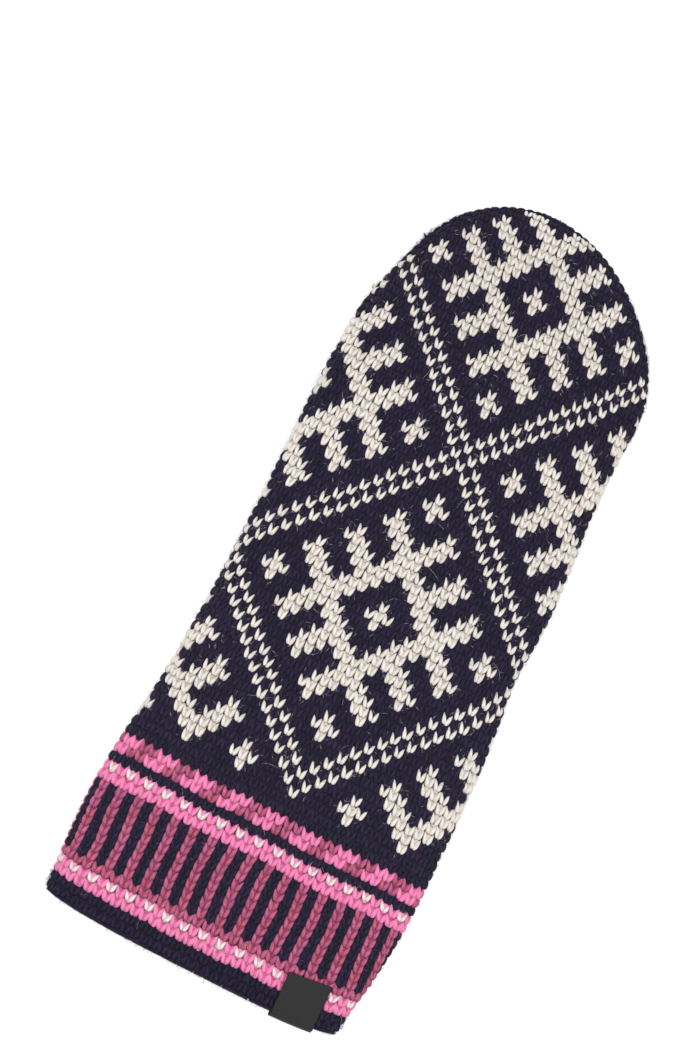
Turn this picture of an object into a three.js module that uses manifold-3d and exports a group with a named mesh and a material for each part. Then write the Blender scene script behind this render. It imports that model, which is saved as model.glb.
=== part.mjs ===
// A knitted wool mitten for the right hand, lying flat with its palm down and its thumb
// tucked flat under the palm. It is made of the cuff, the hand, the thumb and a small
// woven label folded over the cuff's edge. Every piece is hollow where the real one is.
//
// Millimetres. +X points away from the thumb, +Y from the cuff to the fingertips, +Z up.
// While the pieces are made, y = 0 is the cuff's edge and z = 0 the surface they lie on.

import * as THREE from 'three';
import { mergeVertices } from 'three/addons/utils/BufferGeometryUtils.js';
import Module from 'manifold-3d';

// The knitted cloth: how thick it is, and the gap left between neighbouring pieces
const WALL = 2.4;
const GAP = 0.3;

// Lengths along the mitten: the whole, the striped cuff, and the rounded end
const LENGTH = 280;
const CUFF_LENGTH = 61.5;
const TIP_LENGTH = 60;
const TIP_START = LENGTH - TIP_LENGTH;

// Half of the width at stations along the mitten, up to where the rounded end starts
const WIDTHS = [
  { y: 0, half: 54.4 },
  { y: 20, half: 56.8 },
  { y: 42, half: 58.1 },
  { y: 62, half: 57.3 },
  { y: 85, half: 55.6 },
  { y: 104, half: 54.6 },
  { y: 120, half: 53.5 },
  { y: 136, half: 52.5 },
  { y: 154, half: 52.9 },
  { y: 172, half: 52.6 },
  { y: 196, half: 51.6 },
  { y: TIP_START, half: 51 },
];
const TIP_HALF = WIDTHS.at(-1).half;

// The mitten lies in a slight bow: how far its middle line is from x = 0
const BOW = [
  { y: 0, middle: -0.7 },
  { y: 42, middle: 0.9 },
  { y: 62, middle: 1.8 },
  { y: 85, middle: 2.9 },
  { y: 104, middle: 3 },
  { y: 120, middle: 2.6 },
  { y: 136, middle: 1.9 },
  { y: 154, middle: 2.3 },
  { y: 172, middle: 1.9 },
  { y: 196, middle: 0.6 },
  { y: TIP_START, middle: 0.9 },
  { y: 240, middle: 2.4 },
  { y: 251, middle: 1.6 },
  { y: 262, middle: -0.6 },
  { y: LENGTH, middle: -3.2 },
];

// How far the middle of the back rises above its folded sides, at the same kind of stations
const CROWNS = [
  { y: 0, rise: 6.6 },
  { y: 30, rise: 9.2 },
  { y: CUFF_LENGTH, rise: 11.8 },
  { y: 100, rise: 11.4 },
  { y: 134, rise: 8.4 },
  { y: TIP_START, rise: 7 },
  { y: LENGTH, rise: 5 },
];

// The sides are folds: this is the thickness there, through both layers of cloth
const SIDE_THICKNESS = 11;

// The cuff's edge curves up by this much at its two ends, within this far of the edge
const HEM_BOW = 2.4;
const HEM_BOW_REACH = 30;

// The thumb: a flattened tube with a rounded end, which starts at the palm's step
const THUMB = { x: -28.5, half: 21.5, thickness: 9.6, start: 124, end: 208, tip: 22 };

// The palm steps up over the thumb, and comes down again past its end and beside it
const LIFT = THUMB.thickness + GAP;
const STEP = { from: THUMB.start, to: THUMB.start + LIFT };
const PALM_DOWN = { from: THUMB.end + 4, to: THUMB.end + 26 };
const PALM_SIDE = { up: -5, down: 8 };

// The back swells more gently over the thumb than the palm does
const BACK_UP = { from: 92, to: THUMB.start };
const BACK_DOWN = { from: THUMB.end + 4, to: 258 };
const BACK_SIDE = { up: -46, down: 30 };

// The label: a woven strip folded over the cuff's edge, on the back. It leans a little to the
// left, and its end outside rises by this much for each millimetre to the right.
const LABEL = { x: 38.4, width: 15.2, thickness: 0.6, outside: 15.4, inside: 11, lean: 0.035, rise: 0.09 };

// How far the thumb's hollow is run back and on to cut its hole through the palm's step
const HOLE_REACH = { back: 12, on: 2 };

// Points round the hand and the cuff, and round the thumb
const HAND_POINTS = 48;
const THUMB_POINTS = 32;

const { lerp } = THREE.MathUtils;

const clamp01 = (t) => Math.min(Math.max(t, 0), 1);

/** 0 at from, 1 at to, straight between them. */
const ramp = (value, from, to) => clamp01((value - from) / (to - from));

/** 0 at from, 1 at to, with a smooth start and end. */
function smoothRamp(value, from, to) {
  const t = ramp(value, from, to);
  return t * t * (3 - 2 * t);
}

/** A smooth function of y through the rows of a table. */
function throughRows(rows, column) {
  const stations = new Float32Array(rows.map((row) => row.y));
  const values = new Float32Array(rows.map((row) => row[column]));
  const curve = new THREE.CubicInterpolant(stations, values, 1, new Float32Array(1));
  return (y) => curve.evaluate(THREE.MathUtils.clamp(y, stations[0], stations.at(-1)))[0];
}

const widthAt = throughRows(WIDTHS, 'half');
const middleAt = throughRows(BOW, 'middle');
const crownAt = throughRows(CROWNS, 'rise');

/** Share of the way from the middle to the outline, 1 on it, for a face set in by inset. */
function outward(x, y, inset) {
  const across = x - middleAt(y);
  if (y <= TIP_START) return Math.abs(across) / (widthAt(y) - inset);
  return Math.hypot(across / (TIP_HALF - inset), (y - TIP_START) / (TIP_LENGTH - inset));
}

/** Half width of the hand at y, for a face set in by inset. */
function halfWidth(y, inset) {
  if (y <= TIP_START) return widthAt(y) - inset;
  const along = Math.min((y - TIP_START) / (TIP_LENGTH - inset), 1);
  return (TIP_HALF - inset) * Math.sqrt(1 - along * along);
}

/** Height of the palm's outer face. The step is shifted for an inner face to keep its wall. */
function palmHeight(x, y, shift) {
  const along = ramp(y + shift, STEP.from, STEP.to) - smoothRamp(y, PALM_DOWN.from, PALM_DOWN.to);
  return LIFT * along * smoothRamp(x - shift, PALM_SIDE.down, PALM_SIDE.up);
}

/** Height of the outer face of the back: side, crown, and the swell over the thumb. */
function backHeight(x, y) {
  const crown = crownAt(y) * (1 - Math.min(outward(x, y, 0), 1) ** 2);
  const along = smoothRamp(y, BACK_UP.from, BACK_UP.to) - smoothRamp(y, BACK_DOWN.from, BACK_DOWN.to);
  return SIDE_THICKNESS + crown + LIFT * along * smoothRamp(x, BACK_SIDE.down, BACK_SIDE.up);
}

/** How far a face has opened out from a fold of this radius: 0 on the fold, 1 past it. */
function foldOpening(distance, radius) {
  const left = 1 - clamp01(distance / radius);
  return Math.sqrt(1 - left * left);
}

/** How far the cuff's edge has moved up at this share of the way out. */
const hemBow = (share, y) => HEM_BOW * share ** 4 * (1 - ramp(y, 0, HEM_BOW_REACH));

/** Loop of points round the mitten at y, on the face set in from the outside by inset. */
function handLoop(y, inset) {
  const half = halfWidth(y, inset);
  const radius = SIDE_THICKNESS / 2 - inset;
  const shift = inset * (Math.SQRT2 - 1);
  return Array.from({ length: HAND_POINTS }, (_, i) => {
    const turn = (2 * Math.PI * i) / HAND_POINTS;
    const x = middleAt(y) + half * Math.cos(turn);
    const top = backHeight(x, y) - inset;
    const bottom = palmHeight(x, y, shift) + inset;
    const share = outward(x, y, inset);
    const side = i < HAND_POINTS / 2 ? 1 : -1;
    const open = foldOpening((1 - Math.min(share, 1)) * (TIP_HALF - inset), radius);
    const z = (top + bottom) / 2 + (side * open * (top - bottom)) / 2;
    return new THREE.Vector3(x, y + hemBow(share, y), z);
  });
}

/** The point at the end of the fingers where the loops of one face close. */
function handPole(inset) {
  const y = LENGTH - inset;
  const x = middleAt(y);
  return new THREE.Vector3(x, y, (backHeight(x, y) + palmHeight(x, y, 0)) / 2);
}

/** Loop round the thumb at share t of its straight part, or turned by angle into its end. */
function thumbLoop(t, angle, inset) {
  const half = THUMB.half - inset;
  const radius = THUMB.thickness / 2 - inset;
  const straightEnd = THUMB.end - THUMB.tip;
  return Array.from({ length: THUMB_POINTS }, (_, i) => {
    const turn = (2 * Math.PI * i) / THUMB_POINTS;
    const x = half * Math.cos(angle) * Math.cos(turn);
    const side = i < THUMB_POINTS / 2 ? 1 : -1;
    const share = Math.hypot(x / half, Math.sin(angle));
    const z = THUMB.thickness / 2 + side * radius * foldOpening((1 - Math.min(share, 1)) * half, radius);
    const base = THUMB.start + GAP * Math.SQRT2 + z;
    const y = lerp(base, straightEnd, t) + (THUMB.tip - inset) * Math.sin(angle);
    return new THREE.Vector3(THUMB.x + x, y, z);
  });
}

/** The point where the loops of one face of the thumb close. */
const thumbPole = (inset) => new THREE.Vector3(THUMB.x, THUMB.end - inset, THUMB.thickness / 2);

/**
 * A closed skin over a row of loops with equally many points. With poles the row's ends
 * close on those two points, and without them its last loop joins its first.
 */
function skin(loops, firstPole, lastPole) {
  const count = loops[0].length;
  const points = loops.flat();
  const faces = [];
  const bands = firstPole ? loops.length - 1 : loops.length;
  for (let band = 0; band < bands; band += 1) {
    const here = band * count;
    const there = ((band + 1) % loops.length) * count;
    for (let i = 0; i < count; i += 1) {
      const next = (i + 1) % count;
      faces.push(here + i, there + i, here + next);
      faces.push(here + next, there + i, there + next);
    }
  }
  if (firstPole) {
    const first = points.push(firstPole) - 1;
    const last = points.push(lastPole) - 1;
    const lastLoop = (loops.length - 1) * count;
    for (let i = 0; i < count; i += 1) {
      const next = (i + 1) % count;
      faces.push(first, i, next);
      faces.push(last, lastLoop + next, lastLoop + i);
    }
  }
  const geometry = new THREE.BufferGeometry().setFromPoints(points);
  geometry.setIndex(faces);
  return geometry;
}

/** The even steps from one number to another, both included. */
function steps(from, to, count) {
  return Array.from({ length: count }, (_, i) => from + ((to - from) * i) / (count - 1));
}

/** The cuff: a wide ring of cloth with a rounded edge at the mouth. */
function cuffGeometry() {
  const edge = WALL / 2;
  const stations = [edge, ...steps(6, CUFF_LENGTH - GAP / 2, 7)];
  const outside = stations.map((y) => handLoop(y, 0));
  const inside = stations.map((y) => handLoop(y, WALL)).reverse();
  return skin([handLoop(0, WALL / 2), ...outside, ...inside]);
}

/** The hand: closed at the fingers, open to the cuff. */
function handShell() {
  const wrist = steps(CUFF_LENGTH + GAP / 2, 118, 5);
  const step = steps(STEP.from - WALL, STEP.to + WALL, 7);
  const fingers = steps(150, TIP_START, 6);
  const stations = [...new Set([...wrist, ...step, STEP.from, STEP.to, ...fingers])];
  stations.sort((a, b) => a - b);
  const turns = steps(0, Math.PI / 2, 11).slice(1, -1);
  const face = (inset) => [
    ...stations.map((y) => handLoop(y, inset)),
    ...turns.map((turn) => handLoop(TIP_START + (TIP_LENGTH - inset) * Math.sin(turn), inset)),
  ];
  return skin([...face(WALL).reverse(), ...face(0)], handPole(WALL), handPole(0));
}

/** What the hand's cloth leaves open for the thumb: the thumb's hollow, run through the step. */
function thumbHole() {
  const near = thumbLoop(0, 0, WALL).map((p) => p.clone().setY(STEP.from - HOLE_REACH.back));
  const far = thumbLoop(0, 0, WALL).map((p) => p.clone().setY(STEP.to + HOLE_REACH.on));
  const middle = (loop) => new THREE.Vector3(THUMB.x, loop[0].y, THUMB.thickness / 2);
  return skin([near, far], middle(near), middle(far));
}

/** The thumb: a tube of cloth, open at its slanted base and closed at its end. */
function thumbGeometry() {
  const straight = steps(0, 1, 5);
  const turns = steps(0, Math.PI / 2, 8).slice(1, -1);
  const face = (inset) => [
    ...straight.map((t) => thumbLoop(t, 0, inset)),
    ...turns.map((turn) => thumbLoop(1, turn, inset)),
  ];
  return skin([...face(WALL).reverse(), ...face(0)], thumbPole(WALL), thumbPole(0));
}

/** The label: down the outside of the back, round the cuff's edge and up the inside. */
function labelGeometry() {
  const edge = WALL / 2;
  const clear = edge + GAP;
  const route = [
    ...steps(1, 0, 5).map((out) => ({ out, along: lerp(edge, LABEL.outside, out), turn: 0 })),
    ...steps(0, Math.PI, 7).slice(1, -1).map((turn) => ({ out: 0, along: edge, turn })),
    ...steps(edge, LABEL.inside, 4).map((along) => ({ out: 0, along, turn: Math.PI })),
  ];
  const across = steps(-LABEL.width / 2, LABEL.width / 2, 5);
  const place = (offset, { out, along, turn }, away) => {
    const y = along + LABEL.rise * offset * out;
    const x = LABEL.x + offset - LABEL.lean * y;
    const middle = backHeight(x, y) - edge;
    const bow = hemBow(outward(x, y, 0), y);
    return new THREE.Vector3(x, y + bow - away * Math.sin(turn), middle + away * Math.cos(turn));
  };
  const loops = route.map((stop) => [
    ...across.map((offset) => place(offset, stop, clear + LABEL.thickness)),
    ...across.toReversed().map((offset) => place(offset, stop, clear)),
  ]);
  const middle = clear + LABEL.thickness / 2;
  return skin(loops, place(0, route[0], middle), place(0, route.at(-1), middle));
}

const wasm = await Module();
wasm.setup();

/** A closed mesh as a solid that can be cut. */
function toSolid(geometry) {
  const merged = mergeVertices(geometry);
  return new wasm.Manifold(
    new wasm.Mesh({
      numProp: 3,
      vertProperties: new Float32Array(merged.attributes.position.array),
      triVerts: new Uint32Array(merged.index.array),
    }),
  );
}

/** A cut solid as a mesh. */
function toGeometry(solid) {
  const mesh = solid.getMesh();
  const geometry = new THREE.BufferGeometry();
  geometry.setAttribute('position', new THREE.BufferAttribute(mesh.vertProperties, 3));
  geometry.setIndex(new THREE.BufferAttribute(mesh.triVerts, 1));
  return geometry;
}

const handGeometry = () => toGeometry(toSolid(handShell()).subtract(toSolid(thumbHole())));

const navyWool = new THREE.MeshStandardMaterial({ color: 0x232035, roughness: 0.95, metalness: 0 });
const roseWool = new THREE.MeshStandardMaterial({ color: 0xb5527c, roughness: 0.95, metalness: 0 });
const thumbWool = new THREE.MeshStandardMaterial({ color: 0x1f1d2f, roughness: 0.95, metalness: 0 });
const wovenBlack = new THREE.MeshStandardMaterial({ color: 0x2b2929, roughness: 0.8, metalness: 0 });

/** One named piece, shaded by its own faces. */
function piece(name, geometry, material) {
  geometry.computeVertexNormals();
  const mesh = new THREE.Mesh(geometry, material);
  mesh.name = name;
  return mesh;
}

const mitten = new THREE.Group();
mitten.add(
  piece('cuff', cuffGeometry(), roseWool),
  piece('hand', handGeometry(), navyWool),
  piece('thumb', thumbGeometry(), thumbWool),
  piece('label', labelGeometry(), wovenBlack),
);

// The origin is the middle of the lying mitten, on the surface below it
const box = new THREE.Box3().setFromObject(mitten);
const middle = box.getCenter(new THREE.Vector3());
mitten.position.set(-middle.x, -middle.y, -box.min.z);

export default mitten;
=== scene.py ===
"""A stranded wool mitten for the right hand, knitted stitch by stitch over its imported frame.

Every stitch is made of two plump legs of yarn, laid on the mitten's own surface by the
column and the row that it has in the knitting. Shapes are worked out in millimetres on
the cloth, with y = 0 at the cuff's edge and z = 0 on the floor, and put into the meshes
in metres in the row's frame.
"""

import math

import bmesh
import bpy
import numpy as np
from bpy.props import FloatProperty, FloatVectorProperty, IntProperty, PointerProperty
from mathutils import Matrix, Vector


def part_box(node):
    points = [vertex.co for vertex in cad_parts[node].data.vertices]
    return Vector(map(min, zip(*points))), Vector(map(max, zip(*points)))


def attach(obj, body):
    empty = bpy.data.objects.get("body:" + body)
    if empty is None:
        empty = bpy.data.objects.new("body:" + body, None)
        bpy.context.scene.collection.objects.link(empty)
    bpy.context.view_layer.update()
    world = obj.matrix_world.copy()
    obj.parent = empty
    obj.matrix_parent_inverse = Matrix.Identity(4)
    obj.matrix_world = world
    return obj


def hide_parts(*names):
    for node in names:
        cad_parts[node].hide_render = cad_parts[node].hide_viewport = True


bl_info = {
    "name": "Stranded Wool Mitten",
    "version": (1, 0, 0),
    "blender": (4, 5, 0),
    "location": "3D View > Sidebar > Mitten",
    "description": "Knits a patterned wool mitten over its packed frame",
    "category": "Add Mesh",
}

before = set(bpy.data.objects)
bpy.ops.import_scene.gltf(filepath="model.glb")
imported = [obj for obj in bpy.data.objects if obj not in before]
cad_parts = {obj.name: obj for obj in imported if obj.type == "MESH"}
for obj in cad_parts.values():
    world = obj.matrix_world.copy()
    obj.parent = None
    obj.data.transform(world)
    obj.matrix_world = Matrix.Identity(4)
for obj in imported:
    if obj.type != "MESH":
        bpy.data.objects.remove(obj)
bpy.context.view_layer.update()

MM = 0.001
BODY = "root"

# In metres: how far the floor goes, and the height that the camera's distance is taken from
FLOOR_REACH = 3.0
MIDDLE_HEIGHT = 0.012

# The cloth, and the mitten's lengths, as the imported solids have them
WALL = 2.4
LENGTH = 280.0
TIP_LENGTH = 60.0
TIP_START = LENGTH - TIP_LENGTH
CUFF_LENGTH = 61.5
GAP = 0.3
SIDE_THICKNESS = 11.0

# Half of the width, the bow of the middle line and the rise of the crown, along y
WIDTHS = ((0, 54.4), (20, 56.8), (42, 58.1), (62, 57.3), (85, 55.6), (104, 54.6), (120, 53.5), (136, 52.5),
          (154, 52.9), (172, 52.6), (196, 51.6), (220, 51.0))
BOW = ((0, -0.7), (42, 0.9), (62, 1.8), (85, 2.9), (104, 3.0), (120, 2.6), (136, 1.9), (154, 2.3), (172, 1.9),
       (196, 0.6), (220, 0.9), (240, 2.4), (251, 1.6), (262, -0.6), (280, -3.2))
CROWNS = ((0, 6.6), (30, 9.2), (61.5, 11.8), (100, 11.4), (134, 8.4), (220, 7.0), (280, 5.0))

# The cuff's edge curves up at its two ends
HEM_BOW = 2.4
HEM_BOW_REACH = 30.0

# The thumb, and the step of the palm and the swell of the back over it
THUMB_X = -28.5
THUMB_HALF = 21.5
THUMB_THICKNESS = 9.6
THUMB_START = 124.0
THUMB_END = 208.0
THUMB_TIP = 22.0
LIFT = THUMB_THICKNESS + GAP
PALM_STEP = (THUMB_START, THUMB_START + LIFT)
PALM_DOWN = (212.0, 234.0)
PALM_SIDE = (8.0, -5.0)
BACK_UP = (92.0, 124.0)
BACK_DOWN = (212.0, 258.0)
BACK_SIDE = (30.0, -46.0)

# The label folded over the cuff's edge: its middle's x, its width, how far it reaches up the
# outside and the inside, how much its sides lean and its end slants, and how far it stands off
# the edge at the fold
LABEL_X = 38.4
LABEL_WIDTH = 15.2
LABEL_OUTSIDE = 15.4
LABEL_INSIDE = 11.0
LABEL_LEAN = 0.035
LABEL_RISE = 0.09
LABEL_LOOSE = 1.0

# The knitting: stitches round the hand, a stitch's nominal width and height, the column that a
# round is counted from, the rows of the cuff and the hand, those whose bumps the cuff's inside
# shows, and where the bumps of its edge lie
ROUND = 72
COLUMN = 3.29
ROW = 3.32
FIRST_COLUMN = -18.0
FIRST_ROW = -41
LAST_ROW = 46
CUFF_TOP_ROW = -22
INSIDE_ROWS = (-39, -24)
EDGE_ROW = -40.03

# Where the rows lie along the middle column, where that column's x is along the mitten, how wide
# the columns of the back are, and how much the rows rise to the right
ROWS = ((-44, -13.8), (-40, -0.6), (-36.5, 11.1), (-28, 38.8), (-22, 58.8), (-14, 86.5), (0, 134.1),
        (9, 164.3), (18, 194.4), (27, 223.8), (36, 251.6), (45, 278.8), (48, 288.0))
MIDDLE_COLUMN = ((0, 6.6), (23, 5.5), (37, 5.0), (51, 4.8), (65, 4.5), (93, 3.4), (121, 3.2), (149, 3.5),
                 (177, 4.3), (191, 4.4), (219, 3.9), (247, 2.3), (275, -0.9), (289, -2.5))
PITCHES = ((0, 3.50), (37, 3.46), (65, 3.42), (93, 3.36), (121, 3.25), (149, 3.20), (177, 3.13), (205, 3.07),
           (233, 2.97), (247, 2.98), (275, 3.0))
ROW_TILTS = ((0, 0.0), (37, -0.005), (65, -0.018), (93, -0.008), (114, 0.0), (135, 0.004), (149, -0.001),
             (163, -0.006), (177, -0.015), (191, -0.026), (205, -0.032), (219, -0.024), (233, -0.028),
             (247, -0.032), (261, -0.012), (289, 0.0))

# The cuff's edge is a little thicker than the cloth, within this far of it
HEM_SWELL = 0.35
HEM_SWELL_REACH = 6.0

# How far below the cloth's outer face the ground lies that the stitches stand on, and the hidden
# heads and beds of the light stitches
GROUND_DEPTH = 1.05
HEAD_DEPTH = 0.97
BED_DEPTH = 0.78

# How far the cuff's ground stays off the inner face, where the bumps stand proud of it
BUMP_BED = 0.5

# The mean radius of the rounded end, for the steps of the stitches along its edge, and how near
# the fold of such an end the last stitches come
RIM_RADIUS = 55.0
RIM_ROOM = 1.2

# The thumb's stitches round and along
THUMB_ROUND = 28
THUMB_ROWS = 26

NAVY, CREAM, PINK, ROSE = range(4)
YARNS = ("navy", "cream", "pink", "rose")

# What share of a yarn's red, green and blue its hidden heads and beds keep: painted shade, darker
# for the shadow deep between the legs where they lie
PAINTED_SHADE_SHARES = ((1, 1, 1), (0.78, 0.73, 0.68), (0.82, 0.60, 0.66), (0.60, 0.36, 0.45))

# In the cuff, how far each yarn's legs lean out, how long they are, how thick, and how dark the
# painted shade in the pits at their heels is
CUFF_LEGS = (
    (1.24, 1.0, 1.0, 0.6), (1.30, 0.84, 0.90, 0.4), (1.30, 1.08, 1.08, 1.2), (1.14, 1.04, 1.0, 3.2)
)

# One in so many of the loose fibres that start in each yarn is kept
FIBRE_SHARES = (1, 1, 6, 6)


def smooth(value, start, end):
    """0 at start and 1 at end: three times the square of the way less twice its cube."""
    t = np.clip((value - start) / (end - start), 0.0, 1.0)
    return t * t * (3.0 - 2.0 * t)


def through(table, at):
    """A smooth curve through the rows of a table: a cubic between each two rows, whose slope
    at a row is the mean of the straight slopes on its two sides."""
    stations, values = np.array(table, float).T
    slopes = np.diff(values) / np.diff(stations)
    tangents = np.concatenate([slopes[:1], (slopes[1:] + slopes[:-1]) / 2, slopes[-1:]])
    at = np.clip(at, stations[0], stations[-1])
    i = np.clip(np.searchsorted(stations, at, side="right") - 1, 0, len(stations) - 2)
    span = stations[i + 1] - stations[i]
    t = (at - stations[i]) / span
    start = (1 + 2 * t) * (1 - t) ** 2 * values[i] + t * (1 - t) ** 2 * span * tangents[i]
    return start + t * t * (3 - 2 * t) * values[i + 1] - t * t * (1 - t) * span * tangents[i + 1]


def unit(vectors):
    """The same directions with length 1."""
    return vectors / np.maximum(np.linalg.norm(vectors, axis=-1, keepdims=True), 1e-9)


class Bag:
    """A knitted bag that lies flat: its cloth turns down the folds at its sides and round the end.

    A place on it is a side (1 on top, -1 below), the distance across from its middle line and
    the distance along it, both measured on the cloth, and a height over its outer face.
    """

    def __init__(self, tip_start, tip_length, tip_half, radius, edge):
        self.tip_start = tip_start
        self.tip_length = tip_length
        self.tip_half = tip_half
        self.radius = radius
        self.edge = edge
        # How much of the half width the cloth has more than its outline, as it turns down the fold
        self.spare = (math.pi / 2 - 1) * radius / tip_half

    def middle(self, y):
        """The x of the middle line."""
        return np.zeros_like(y)

    def half(self, y):
        """Half of the outline's width."""
        return np.full_like(y, self.tip_half)

    def top(self, x, y, share):
        """The height of the upper face, at a share of the way out."""
        return np.full_like(y, 2 * self.radius)

    def bottom(self, x, y):
        """The height of the lower face."""
        return np.zeros_like(y)

    def lift_edge(self, share, y):
        """How far the edge of the mouth curves up at its ends."""
        return np.zeros_like(y)

    def reach(self, y):
        """Half of the cloth's width on one side."""
        return self.half(y) * (1 + self.spare)

    def outward(self, across, along):
        """How far into the rounded end a place is, and its share of the way out from the middle
        line: across the bag, and in the end along an ellipse."""
        past = np.maximum(along - self.tip_start, 0.0)
        return past, np.hypot(across / self.half(np.minimum(along, self.tip_start)), past / self.tip_length)

    def off_end(self, across, along):
        """Whether a place is past the fold of the rounded end, or too near it for a stitch."""
        past, share = self.outward(across, along)
        return (past > 0) & (share > 1 + self.spare - RIM_ROOM / self.tip_half)

    def face(self, side, across, along):
        """The outer face. Past the start of the fold at the sides and round the end, the cloth
        turns down a quarter circle, from the top's height or up from the bottom's."""
        past, share = self.outward(across, along)
        turn = np.clip(1 - (1 - share) * self.tip_half / self.radius, 0.0, math.pi / 2)
        folded = 1 - self.radius * (1 - np.sin(turn)) / self.tip_half
        pulled = np.where(turn > 0, folded / np.maximum(share, 1e-9), 1.0)
        share = np.where(turn > 0, folded, share)
        y = np.where(along > self.tip_start, self.tip_start + past * pulled, along)
        x = self.middle(y) + across * pulled
        top = self.top(x, y, share)
        bottom = self.bottom(x, y)
        z = (top + bottom) / 2 + side * np.cos(turn) * (top - bottom) / 2
        return np.stack([x, y + self.lift_edge(share, y), z], -1)

    def lay(self, side, across, along, height):
        """A point at a height over the outer face, along its normal. Below the rounded edge of
        the mouth the cloth turns round a half circle, and goes on along its inner face."""
        side, across, along, height = np.broadcast_arrays(side, across, along, height)
        step = 0.2
        roll = (self.edge - along) / self.edge if self.edge else np.full_like(along, -1.0)
        turn = np.clip(roll, 0.0, math.pi)
        inward = np.maximum(roll - math.pi, 0.0) * self.edge
        y = np.where(roll > 0, self.edge + inward, along)
        point = self.face(side, across, y)
        over = self.face(side, across + step, y) - self.face(side, across - step, y)
        on = unit(self.face(side, across, y + step) - self.face(side, across, y - step))
        normal = unit(np.cross(over, on)) * side[..., None]
        rise = np.where(turn > 0, (self.edge + height) * np.cos(turn) - self.edge, height)
        return point + normal * rise[..., None] - on * ((self.edge + height) * np.sin(turn))[..., None]


class HandBag(Bag):
    """The cuff and the hand, which are one tube of cloth."""

    def middle(self, y):
        return through(BOW, y)

    def half(self, y):
        return through(WIDTHS, y)

    def top(self, x, y, share):
        """The sides' thickness, a crown that falls off with the square of the share of the way
        out, and the swell over the thumb."""
        crown = through(CROWNS, y) * (1 - np.minimum(share, 1.0) ** 2)
        along = smooth(y, *BACK_UP) - smooth(y, *BACK_DOWN)
        return SIDE_THICKNESS + crown + LIFT * along * smooth(x, *BACK_SIDE)

    def bottom(self, x, y):
        """The floor, and over the thumb a step up at 45 degrees."""
        along = np.clip((y - PALM_STEP[0]) / LIFT, 0.0, 1.0) - smooth(y, *PALM_DOWN)
        return LIFT * along * smooth(x, *PALM_SIDE)

    def lift_edge(self, share, y):
        """The fourth power of the share of the way out, fading out along the cuff."""
        return HEM_BOW * share**4 * (1 - np.clip(y / HEM_BOW_REACH, 0.0, 1.0))


class ThumbBag(Bag):
    """The thumb, tucked flat under the palm."""

    def middle(self, y):
        return np.full_like(y, THUMB_X)


HAND = HandBag(TIP_START, TIP_LENGTH, WIDTHS[-1][1], SIDE_THICKNESS / 2, WALL / 2)
THUMB = ThumbBag(THUMB_END - THUMB_TIP, THUMB_TIP, THUMB_HALF, THUMB_THICKNESS / 2, 0.0)


def row_frame(points):
    """Millimetres on the mitten to metres in the row's frame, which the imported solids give. What
    would go under the floor is pressed flat on it."""
    thumb_low, thumb_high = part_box("thumb")
    shift = np.array([(thumb_low.x + thumb_high.x) / 2 - THUMB_X * MM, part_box("cuff")[0].y, 0.0])
    return np.maximum(points, [-np.inf, -np.inf, 0.0]) * MM + shift


def round_place(column, row):
    """Whether a stitch of the hand is on the back, and how far across and along the cloth it is.
    The back's columns have its pitch from the middle column, and the palm takes the rest of the
    round between the two folds."""
    along = through(ROWS, row)
    reach = HAND.reach(np.minimum(along, TIP_START))
    pitch = through(PITCHES, along)
    line = through(MIDDLE_COLUMN, along) - HAND.middle(along)
    right = (reach - line) / pitch
    left = -(reach + line) / pitch
    column = left + np.mod(column - left, ROUND)
    palm_pitch = 2 * reach / (ROUND - right + left)
    back = column <= right
    across = np.where(back, line + column * pitch, reach - (column - right) * palm_pitch)
    return back, across, along + through(ROW_TILTS, along) * across


def hand_place(column, row, height):
    """Where a column and a row of the hand's knitting lie, with a slow wave for the unevenness
    of handwork that fades out at the folds."""
    back, across, along = round_place(column, row)
    across_wave = 0.28 * np.sin(row * 0.43 + column * 0.21) + 0.18 * np.sin(row * 0.91 - column * 0.37)
    along_wave = 0.25 * np.sin(column * 0.53 + row * 0.17) + 0.15 * np.sin(column * 1.13 - row * 0.29)
    fade = np.clip((1 - np.abs(across) / HAND.reach(np.minimum(along, TIP_START))) * 6, 0.0, 1.0)
    swell = HEM_SWELL * np.exp(-((along / HEM_SWELL_REACH) ** 2))
    side = np.where(back, 1.0, -1.0)
    return HAND.lay(side, across + across_wave * fade, along + along_wave * fade, height + swell)


def rim_place(column, row, height):
    """The chain of stitches that runs round the rounded end, on its fold: a column lies across
    the fold, and a row is a step round the end's ellipse."""
    turn = np.clip(row * ROW / RIM_RADIUS, 0.0, math.pi)
    share = 1 + HAND.spare - np.abs(column) * COLUMN / HAND.tip_half
    across = HAND.tip_half * share * np.cos(turn)
    along = TIP_START + TIP_LENGTH * share * np.sin(turn)
    return HAND.lay(np.where(column > 0, -1.0, 1.0), across, along, height)


def thumb_base(side, across):
    """Where the thumb's cloth starts: it leans against the palm's step, further on where it is
    higher."""
    height = THUMB.face(side, across, np.full_like(across, THUMB_START))[..., 2]
    return THUMB_START + GAP * math.sqrt(2) + height


def thumb_across(column):
    """Whether a column of the thumb is on its top, and how far across the cloth it is."""
    reach = THUMB.reach(np.zeros(1))[0]
    pitch = 4 * reach / THUMB_ROUND
    column = np.mod(column + THUMB_ROUND / 4, THUMB_ROUND)
    top = column <= THUMB_ROUND / 2
    return top, np.where(top, column * pitch - reach, 3 * reach - column * pitch)


def thumb_place(column, row, height):
    """Where a column and a row of the thumb's knitting lie. Row 0 is at the step's foot."""
    top, across = thumb_across(column)
    return THUMB.lay(np.where(top, 1.0, -1.0), across, THUMB_START + row * ROW, height)


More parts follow.
